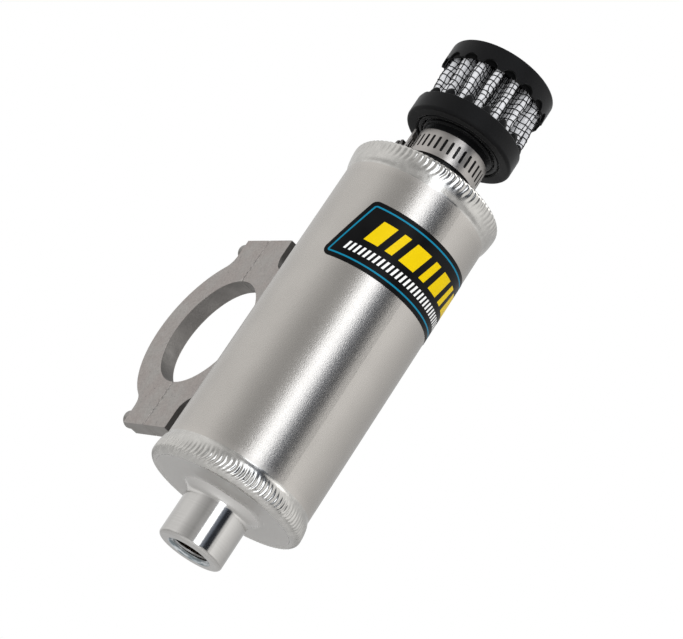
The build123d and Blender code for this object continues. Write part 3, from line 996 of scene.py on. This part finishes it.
def screen_lines(upright_spacing, row_spacing, wire):
    """Lines of the outer screen: upright wires and wires that run round, woven over and under."""
    uprights = 2 * round(ROUND_LENGTH / upright_spacing / 2)
    rows = round(PLEAT_HEIGHT / row_spacing)
    reach = HALF_GAUZE + wire
    weave = wire * 0.45
    points, edges = [], []

    def add_line(line, closed):
        first = len(points)
        points.extend(line)
        edges.extend((first + i, first + i + 1) for i in range(len(line) - 1))
        if closed:
            edges.append((first + len(line) - 1, first))

    for upright in range(uprights):
        share = upright / uprights
        line = []
        steps = rows * STEPS_PER_WIRE
        for step in range(steps + 1):
            rise = step / steps
            side = math.cos(math.pi * (rise * rows + upright))
            sway = 0.45 * upright_spacing * noise.noise(Vector((share * 90, rise * 4, 3.1)))
            line.append(on_pleats(share + sway / ROUND_LENGTH, rise, reach + weave * side))
        add_line(line, closed=False)
    for row in range(1, rows):
        line = []
        steps = uprights * STEPS_PER_WIRE
        for step in range(steps):
            share = step / steps
            side = -math.cos(math.pi * (share * uprights + row))
            turn = 2 * math.pi * share
            sway = 0.4 * noise.noise(Vector((math.cos(turn) * 9, math.sin(turn) * 9, row * 0.7)))
            line.append(on_pleats(share, (row + sway) / rows, reach + weave * side))
        add_line(line, closed=True)
    return new_mesh("screen_lines", points, edges=edges)


def gauze_mesh():
    """The pleated gauze as a closed sheet with a thickness."""
    points, faces = [], []
    for shift in (HALF_GAUZE, -HALF_GAUZE):
        for row in range(GAUZE_ROWS + 1):
            for column in range(GAUZE_COLUMNS):
                points.append(on_pleats(column / GAUZE_COLUMNS, row / GAUZE_ROWS, shift))
    top = GAUZE_ROWS * GAUZE_COLUMNS
    layer = top + GAUZE_COLUMNS
    for column in range(GAUZE_COLUMNS):
        after = (column + 1) % GAUZE_COLUMNS
        for low in range(0, top, GAUZE_COLUMNS):
            high = low + GAUZE_COLUMNS
            outer = (low + column, low + after, high + after, high + column)
            faces += [outer, tuple(layer + corner for corner in reversed(outer))]
        faces.append((after, column, layer + column, layer + after))
        faces.append((top + column, top + after, layer + top + after, layer + top + column))
    return new_mesh("filter_gauze", points, faces=faces)


def rubber_material(colours):
    """Matte black rubber with a faint bloom, painted black shade inside the arches of the top, and
    glossier where the base is recessed round the neck."""
    made, tree, sockets = new_material("moulded rubber", "cap_rubber")
    vector = centred(tree, (TANK_X, 0, 0))
    grain = speckle(tree, vector, 0.5 * MM, 9 * MM)
    base = linear(colours.rubber)
    colour = mixed(tree, grain["Patches"], toned(base, 0.8), toned(base, 1.3))
    parts = split(tree, vector)
    radius = hypotenuse(tree, parts[0], parts[1])
    # Painted shade: black inside the arches under the top.
    above = spread(tree, parts[2], COVER_ARCH_LOW, COVER_ARCH_LOW + 1 * MM)
    within = spread(tree, radius, COVER_INNER_RADIUS + 0.4 * MM, COVER_INNER_RADIUS)
    painted_arch_shade = maths(tree, "MULTIPLY", above, within)
    put(tree, mixed(tree, painted_arch_shade, colour, toned(base, 0.1)), sockets["Base Color"])
    recess_top = BASE_START + BASE_RECESS
    under = spread(tree, parts[2], recess_top + 0.3 * MM, recess_top)
    inside_rim = spread(tree, radius, BASE_RIM_RADIUS + 0.3 * MM, BASE_RIM_RADIUS)
    recess = maths(tree, "MULTIPLY", under, inside_rim)
    dull = spread(tree, grain["Patches"], 0.0, 1.0, 0.5, 0.62)
    dull = maths(tree, "MULTIPLY_ADD", painted_arch_shade, 0.35, dull)
    put(tree, maths(tree, "MULTIPLY_ADD", recess, -0.28, dull), sockets["Roughness"])
    sockets["Specular IOR Level"].default_value = 0.12
    sockets["Sheen Weight"].default_value = 0.18
    sockets["Sheen Roughness"].default_value = 0.35
    put(tree, bump(tree, grain["Height"], 0.03 * MM), sockets["Normal"])
    return made


def cotton_material(colours):
    """Loose white gauze with fine fibres, with painted shade down in the valleys."""
    made, tree, sockets = new_material("cotton gauze", "media_cotton")
    vector = centred(tree, (TANK_X, 0, 0))
    grain = speckle(tree, vector, 0.3 * MM, 3 * MM)
    base = linear(colours.cotton)
    fine = mixed(tree, grain["Tone"], toned(base, 0.82), toned(base, 1.06))
    parts = split(tree, vector)
    radius = hypotenuse(tree, parts[0], parts[1])
    # Painted shade: the gauze darkens towards the bottoms of the valleys.
    valley = spread(tree, radius, 15.6 * MM, 12.6 * MM, smooth=True)
    colour = mixed(tree, grain["Patches"], toned(base, 0.9), fine)
    put(tree, mixed(tree, valley, colour, toned(base, 0.3)), sockets["Base Color"])
    sockets["Roughness"].default_value = 0.9
    sockets["Sheen Weight"].default_value = 0.2
    put(tree, bump(tree, grain["Height"], 0.12 * MM), sockets["Normal"])
    return made


def wire_material(colours):
    """Black coated wire."""
    made, sockets = speckled_material(
        "black wire",
        "screen_wire",
        colours.wire,
        place=(TANK_X, 0, 0),
        sizes=(0.2 * MM, 4 * MM),
        tones=(0.7, 1.6),
        shines=(0.5, 0.65),
        depth=0.01 * MM,
    )
    sockets["Specular IOR Level"].default_value = 0.25
    return made


def lug_tree():
    """Node tree for round lugs in a ring on the tank's axis."""
    name = "Ring of lugs"
    if name in bpy.data.node_groups:
        return bpy.data.node_groups[name]
    tree, start, end = new_group(
        name,
        "GeometryNodeTree",
        {
            "Geometry": "NodeSocketGeometry",
            "Count": 16,
            "Radius": 0.0168,
            "Half Size": (0.0016, 0.0016, 0.002),
            "Place": (0.0, 0.0, 0.0),
            "Turn": (0.0, 0.0, 0.0),
            "Material": "NodeSocketMaterial",
        },
        {"Geometry": "NodeSocketGeometry"},
    )
    ring = node(tree, "GeometryNodeMeshCircle", {"Vertices": start["Count"], "Radius": start["Radius"]})
    lug = node(tree, "GeometryNodeMeshUVSphere", {"Segments": 20, "Rings": 12, "Radius": 1.0})
    smooth = node(tree, "GeometryNodeSetShadeSmooth", {"Geometry": lug.outputs[0]})
    lugs = node(
        tree,
        "GeometryNodeInstanceOnPoints",
        {"Points": ring.outputs[0], "Instance": smooth.outputs[0], "Scale": start["Half Size"]},
    )
    placed = node(
        tree,
        "GeometryNodeTransform",
        {"Geometry": lugs.outputs[0], "Translation": start["Place"], "Rotation": start["Turn"]},
    )
    return close_geometry(tree, placed.outputs[0], start["Material"], end)


class VENTTANK_OT_breather_ends(bpy.types.Operator):
    """Give the moulded base and top of the breather their rubber, and make the lugs of the
    base between the pleats"""

    bl_idname = "venttank.breather_ends"
    bl_label = "Breather Ends"

    def execute(self, context):
        rubber = rubber_material(context.scene.vent_tank_colours)
        dress(["filter_base", "filter_top"], rubber)
        values = {
            "Count": PLEATS,
            "Radius": LUG_RADIUS,
            "Half Size": LUG_HALF_SIZE,
            "Place": (TANK_X, 0, BASE_TOP - 0.2 * MM),
            "Turn": (0, 0, PLEAT_PHASE + math.pi / PLEATS),
            "Material": rubber,
        }
        carrier = new_mesh("filter_lugs_carrier", [(0, 0, 0)])
        settle(grow("filter_lugs", lug_tree(), carrier, values), "cap_rubber")
        return {"FINISHED"}


class VENTTANK_OT_pleats(bpy.types.Operator):
    """Make the pleated gauze and the wire screen over it"""

    bl_idname = "venttank.pleats"
    bl_label = "Pleats and Screens"

    def execute(self, context):
        sizes = context.scene.vent_tank_sizes
        colours = context.scene.vent_tank_colours
        wire = wire_material(colours)
        gauze = new_object("filter_gauze", gauze_mesh())
        gauze.data.materials.append(cotton_material(colours))
        settle(gauze, "media_cotton", "filter_media")
        carrier = screen_lines(sizes.upright_spacing, sizes.row_spacing, sizes.wire_diameter / 2)
        values = {"Diameter": sizes.wire_diameter, "Material": wire}
        cloth = grow("filter_wire_cloth", wire_tree(), carrier, values)
        settle(cloth, "screen_wire", "filter_outer_screen")
        dress(["filter_inner_screen"], wire)
        return {"FINISHED"}


# Hose clamp


def band_material(colours):
    """Rolled steel strip with faint lines along it."""
    made, tree, sockets = new_material("band steel", "band_steel")
    vector = centred(tree, (TANK_X, 0, 0))
    marks = use_group(tree, lathe_group(), {"Vector": vector, "Pitch": 0.22 * MM})
    grain = speckle(tree, vector, 0.4 * MM, 4 * MM)
    base = linear(colours.band)
    lined = mixed(tree, marks["Tone"], toned(base, 0.88), toned(base, 1.1))
    patchy = maths(tree, "MULTIPLY", grain["Patches"], 0.5)
    put(tree, mixed(tree, patchy, lined, toned(base, 1.1)), sockets["Base Color"])
    sockets["Metallic"].default_value = 1.0
    put(tree, spread(tree, grain["Patches"], 0.0, 1.0, 0.3, 0.4), sockets["Roughness"])
    normal = bump(tree, marks["Height"], 0.008 * MM)
    put(tree, bump(tree, grain["Height"], 0.01 * MM, normal), sockets["Normal"])
    return made


def worm_material(colours):
    """Dull plated steel of the worm screw."""
    made, sockets = speckled_material(
        "worm steel",
        "worm_steel",
        colours.worm,
        place=(TANK_X, 0, 0),
        sizes=(0.3 * MM, 2 * MM),
        tones=(0.75, 1.25),
        shines=(0.38, 0.5),
        depth=0.015 * MM,
    )
    sockets["Metallic"].default_value = 0.9
    return made


class VENTTANK_OT_hose_clamp(bpy.types.Operator):
    """Give the band, housing and worm screw their finishes"""

    bl_idname = "venttank.hose_clamp"
    bl_label = "Hose Clamp"

    def execute(self, context):
        colours = context.scene.vent_tank_colours
        dress(["hose_clamp_band", "hose_clamp_housing"], band_material(colours))
        dress(["hose_clamp_screw"], worm_material(colours))
        return {"FINISHED"}


# Label


LABEL_LOW, LABEL_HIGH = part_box("label")
LABEL_ANGLE = math.radians(4.2)
LABEL_WIDTH = 61.0 * MM
LABEL_SLANT = 0.31
LABEL_CORNER = 2.4 * MM
LABEL_LINE_INSET = 1.75 * MM
LABEL_MIDDLE = (LABEL_LOW.z + LABEL_HIGH.z) / 2
LABEL_HALF_HEIGHT = (LABEL_HIGH.z - LABEL_LOW.z) / 2
# The bars lie between two levels, and each one between two places in millimetres along the film.
BAR_LEVELS = (26.5 * MM, 34.8 * MM)
BARS = ((-22.5, -17.5), (-15.0, -12.4), (-9.9, -3.9), (-1.4, 1.2), (3.7, 8.7), (11.2, 13.8), (16.3, 26.4))
TICK_LEVELS = (21.2 * MM, 24.2 * MM)
TICK_ENDS = (-25.4 * MM, 26.4 * MM)
TICK_SPACING = 1.7 * MM
PRINT_BLUR = 0.05 * MM


def between(tree, value, low, high):
    """A mask that is 1 between two places, with a faint blur at both."""
    above = spread(tree, value, low - PRINT_BLUR, low + PRINT_BLUR)
    below = spread(tree, value, high + PRINT_BLUR, high - PRINT_BLUR)
    return maths(tree, "MULTIPLY", above, below)


def label_line(tree, straight, rise):
    """A mask for the thin line that runs inside the label's edge and round its corners."""
    past_end = maths(tree, "SUBTRACT", LABEL_WIDTH / 2, maths(tree, "ABSOLUTE", straight))
    end_gap = maths(tree, "MULTIPLY", past_end, 1 / math.hypot(1, LABEL_SLANT))
    side_gap = maths(tree, "SUBTRACT", LABEL_HALF_HEIGHT, maths(tree, "ABSOLUTE", rise))
    inner_x, inner_y = (
        maths(tree, "MAXIMUM", maths(tree, "SUBTRACT", LABEL_CORNER, gap), 0.0)
        for gap in (end_gap, side_gap)
    )
    edge = maths(tree, "SUBTRACT", LABEL_CORNER, hypotenuse(tree, inner_x, inner_y))
    off_line = maths(tree, "ABSOLUTE", maths(tree, "SUBTRACT", edge, LABEL_LINE_INSET))
    return spread(tree, off_line, 0.32 * MM, 0.22 * MM)


def label_material(colours):
    """Printed film: dark ground, a line inside the edge, broad bars and a thin row of ticks."""
    made, tree, sockets = new_material("label film", "label_film")
    vector = centred(tree, (TANK_X, 0, LABEL_MIDDLE))
    parts = split(tree, vector)
    angle = maths(tree, "SUBTRACT", maths(tree, "ARCTAN2", parts[1], parts[0]), LABEL_ANGLE)
    along = maths(tree, "MULTIPLY", angle, TANK_RADIUS)
    rise = parts[2]
    straight = maths(tree, "ADD", along, maths(tree, "MULTIPLY", rise, -LABEL_SLANT))
    bar_row, tick_row = (
        between(tree, rise, low - LABEL_MIDDLE, high - LABEL_MIDDLE)
        for low, high in (BAR_LEVELS, TICK_LEVELS)
    )
    bars = 0.0
    for left, right in BARS:
        bars = maths(tree, "MAXIMUM", bars, between(tree, straight, left * MM, right * MM))
    place = maths(tree, "FRACT", maths(tree, "DIVIDE", straight, TICK_SPACING))
    ticks = spread(tree, maths(tree, "ABSOLUTE", maths(tree, "SUBTRACT", place, 0.5)), 0.27, 0.21)
    ticks = maths(tree, "MULTIPLY", ticks, between(tree, straight, *TICK_ENDS))
    line = label_line(tree, straight, rise)
    colour = mixed(tree, line, linear(colours.label), linear(colours.label_line))
    colour = mixed(tree, maths(tree, "MULTIPLY", bar_row, bars), colour, linear(colours.label_band))
    colour = mixed(tree, maths(tree, "MULTIPLY", tick_row, ticks), colour, linear(colours.label_ticks))
    grain = speckle(tree, vector, 0.3 * MM, 12 * MM)
    bloom = maths(tree, "MULTIPLY", grain["Patches"], 0.006)
    colour = mixed(tree, bloom, colour, (0.5, 0.5, 0.5, 1.0))
    put(tree, colour, sockets["Base Color"])
    put(tree, spread(tree, grain["Patches"], 0.0, 1.0, 0.3, 0.4), sockets["Roughness"])
    sockets["Specular IOR Level"].default_value = 0.07
    put(tree, bump(tree, grain["Height"], 0.004 * MM), sockets["Normal"])
    return made


class VENTTANK_OT_label(bpy.types.Operator):
    """Give the label its printed film"""

    bl_idname = "venttank.label"
    bl_label = "Label"

    def execute(self, context):
        dress(["label"], label_material(context.scene.vent_tank_colours))
        return {"FINISHED"}


# Stage


CAMERA_PLACE = Vector((0.6484, -0.3206, -0.2245))
CAMERA_BACK = Vector((0.82385, -0.45828, -0.33354)).normalized()
CAMERA_UP = Vector((-0.02500, -0.61727, 0.78636))
CAMERA_LENS = 118.1
CAMERA_SHIFT = (-0.0105, 0.0030)
AIM = Vector((0.045, 0.0, 0.01))
FLOOR_LEVEL = -0.62
FLOOR_HALF = 14.0
# The room that gloss reflects: its brightness at each azimuth, in degrees.
ROOM = (
    (-180, 0.82),
    (-158, 0.87),
    (-140, 1.0),
    (-105, 1.04),
    (-80, 0.66),
    (-58, 0.46),
    (-44, 0.6),
    (-4, 0.25),
    (1, 0.04),
    (16, 0.04),
    (22, 1.05),
    (34, 1.25),
    (50, 1.08),
    (75, 0.84),
    (105, 0.62),
    (130, 0.58),
    (160, 0.72),
    (180, 0.82),
)
GLOSS_PEAK = 1.3
COOL_BELOW = 0.3
COOLNESS = 0.25


def around(azimuth, elevation, distance):
    """A point round the object, from an azimuth that starts at +X and an elevation, in degrees."""
    turn, tilt = math.radians(azimuth), math.radians(elevation)
    flat = math.cos(tilt)
    return AIM + distance * Vector((flat * math.cos(turn), flat * math.sin(turn), math.sin(tilt)))


def add_lamp(name, place, size, power, colour=(1.0, 1.0, 1.0)):
    """A soft box that faces the object. Its place is an azimuth, an elevation and a distance."""
    data = bpy.data.lights.new(name, "AREA")
    data.shape = "RECTANGLE"
    data.size, data.size_y = size
    data.energy = power
    data.color = colour
    made = new_object(name, data)
    made.location = around(*place)
    made.rotation_euler = (AIM - made.location).to_track_quat("-Z", "Y").to_euler()
    return made


def build_world(surround):
    """White to the camera, a plain surround for matte surfaces, and for gloss a bright room
    with a darker side and one cool dark strip."""
    world = bpy.data.worlds.new("studio")
    bpy.context.scene.world = world
    world.use_nodes = True
    tree = world.node_tree
    tree.nodes.clear()
    path = node(tree, "ShaderNodeLightPath").outputs
    where = node(tree, "ShaderNodeTexCoord").outputs["Generated"]
    turn = node(tree, "ShaderNodeTexGradient", {"Vector": where}, gradient_type="RADIAL").outputs["Fac"]
    ramp = node(tree, "ShaderNodeValToRGB", {0: turn})
    stops = ramp.color_ramp.elements
    while len(stops) < len(ROOM):
        stops.new(0.5)
    for stop, (azimuth, level) in zip(stops, ROOM):
        stop.position = (azimuth + 180) / 360
        grey = level / GLOSS_PEAK
        cool = COOLNESS if level < COOL_BELOW else 0.0
        stop.color = (grey * (1 - cool / 2), grey, grey * (1 + cool), 1.0)
    plain = node(tree, "ShaderNodeBackground", {"Color": (1, 1, 1, 1), "Strength": surround})
    gloss = node(tree, "ShaderNodeBackground", {"Color": ramp.outputs[0], "Strength": GLOSS_PEAK})
    white = node(tree, "ShaderNodeBackground", {"Color": (1, 1, 1, 1), "Strength": 1.0})
    shiny = maths(tree, "MAXIMUM", path["Is Glossy Ray"], path["Is Transmission Ray"])
    first = node(tree, "ShaderNodeMixShader", {0: shiny, 1: plain.outputs[0], 2: gloss.outputs[0]})
    second = node(
        tree, "ShaderNodeMixShader", {0: path["Is Camera Ray"], 1: first.outputs[0], 2: white.outputs[0]}
    )
    node(tree, "ShaderNodeOutputWorld", {"Surface": second.outputs[0]})


def floor_material():
    """Plain pale floor."""
    made = bpy.data.materials.new("studio floor")
    made.use_nodes = True
    tree = made.node_tree
    sockets = tree.nodes["Principled BSDF"].inputs
    where = node(tree, "ShaderNodeTexCoord").outputs["Object"]
    tone = cloud(tree, where, 0.4)
    put(tree, mixed(tree, tone, (0.83, 0.83, 0.83, 1.0), (0.86, 0.86, 0.86, 1.0)), sockets["Base Color"])
    sockets["Roughness"].default_value = 0.9
    return made


class VENTTANK_OT_stage(bpy.types.Operator):
    """Set the camera, the lamps, the surround and the floor"""

    bl_idname = "venttank.stage"
    bl_label = "Stage"

    def execute(self, context):
        stage = context.scene.vent_tank_stage
        data = bpy.data.cameras.new("camera")
        data.lens = CAMERA_LENS
        data.sensor_width = 36.0
        data.shift_x, data.shift_y = CAMERA_SHIFT
        data.clip_start, data.clip_end = 0.01, 50.0
        camera = new_object("camera", data)
        right = CAMERA_UP.cross(CAMERA_BACK).normalized()
        up = CAMERA_BACK.cross(right)
        turn = Matrix((right, up, CAMERA_BACK)).transposed().to_4x4()
        camera.matrix_world = Matrix.Translation(CAMERA_PLACE) @ turn
        context.scene.camera = camera
        context.scene.view_settings.view_transform = "Standard"
        add_lamp("key lamp", (-23.5, 12, 1.1), (0.41, 1.45), stage.key_power, (0.93, 0.96, 1.0))
        add_lamp("top lamp", (60, 62, 1.2), (0.7, 0.7), stage.top_power)
        fill = add_lamp("fill lamp", (-40, 10, 1.3), (0.9, 0.9), stage.fill_power)
        fill.visible_glossy = False
        build_world(stage.surround)
        signs = ((-1, -1), (1, -1), (1, 1), (-1, 1))
        corners = [(x * FLOOR_HALF, y * FLOOR_HALF, FLOOR_LEVEL) for x, y in signs]
        floor = new_object("floor", new_mesh("floor", corners, faces=[(0, 1, 2, 3)]))
        floor.data.materials.append(floor_material())
        return {"FINISHED"}


# Panel


class VENTTANK_PT_panel(bpy.types.Panel):
    """Lists the pieces and their settings"""

    bl_label = "Vent Tank"
    bl_idname = "VENTTANK_PT_panel"
    bl_space_type = "VIEW_3D"
    bl_region_type = "UI"
    bl_category = "Vent Tank"

    def draw(self, context):
        layout = self.layout
        for group in (
            context.scene.vent_tank_sizes,
            context.scene.vent_tank_colours,
            context.scene.vent_tank_stage,
        ):
            column = layout.column(align=True)
            for name in group.__annotations__:
                column.prop(group, name)
        column = layout.column(align=True)
        for operator in operators:
            column.operator(operator.bl_idname)


operators = (
    VENTTANK_OT_stage,
    VENTTANK_OT_tank,
    VENTTANK_OT_welds,
    VENTTANK_OT_tube_clamp,
    VENTTANK_OT_drain_thread,
    VENTTANK_OT_breather_ends,
    VENTTANK_OT_pleats,
    VENTTANK_OT_hose_clamp,
    VENTTANK_OT_label,
)
settings = (VentTankSizes, VentTankColours, VentTankStage)


def register():
    for cls in (*settings, *operators, VENTTANK_PT_panel):
        bpy.utils.register_class(cls)
    bpy.types.Scene.vent_tank_sizes = PointerProperty(type=VentTankSizes)
    bpy.types.Scene.vent_tank_colours = PointerProperty(type=VentTankColours)
    bpy.types.Scene.vent_tank_stage = PointerProperty(type=VentTankStage)


def unregister():
    del bpy.types.Scene.vent_tank_stage
    del bpy.types.Scene.vent_tank_colours
    del bpy.types.Scene.vent_tank_sizes
    for cls in reversed((*settings, *operators, VENTTANK_PT_panel)):
        bpy.utils.unregister_class(cls)


def main():
    """Makes the whole scene, one piece after another."""
    register()
    bpy.ops.venttank.stage()
    bpy.ops.venttank.tank()
    bpy.ops.venttank.welds()
    bpy.ops.venttank.tube_clamp()
    bpy.ops.venttank.drain_thread()
    bpy.ops.venttank.breather_ends()
    bpy.ops.venttank.pleats()
    bpy.ops.venttank.hose_clamp()
    bpy.ops.venttank.label()


if __name__ == "__main__":
    main()
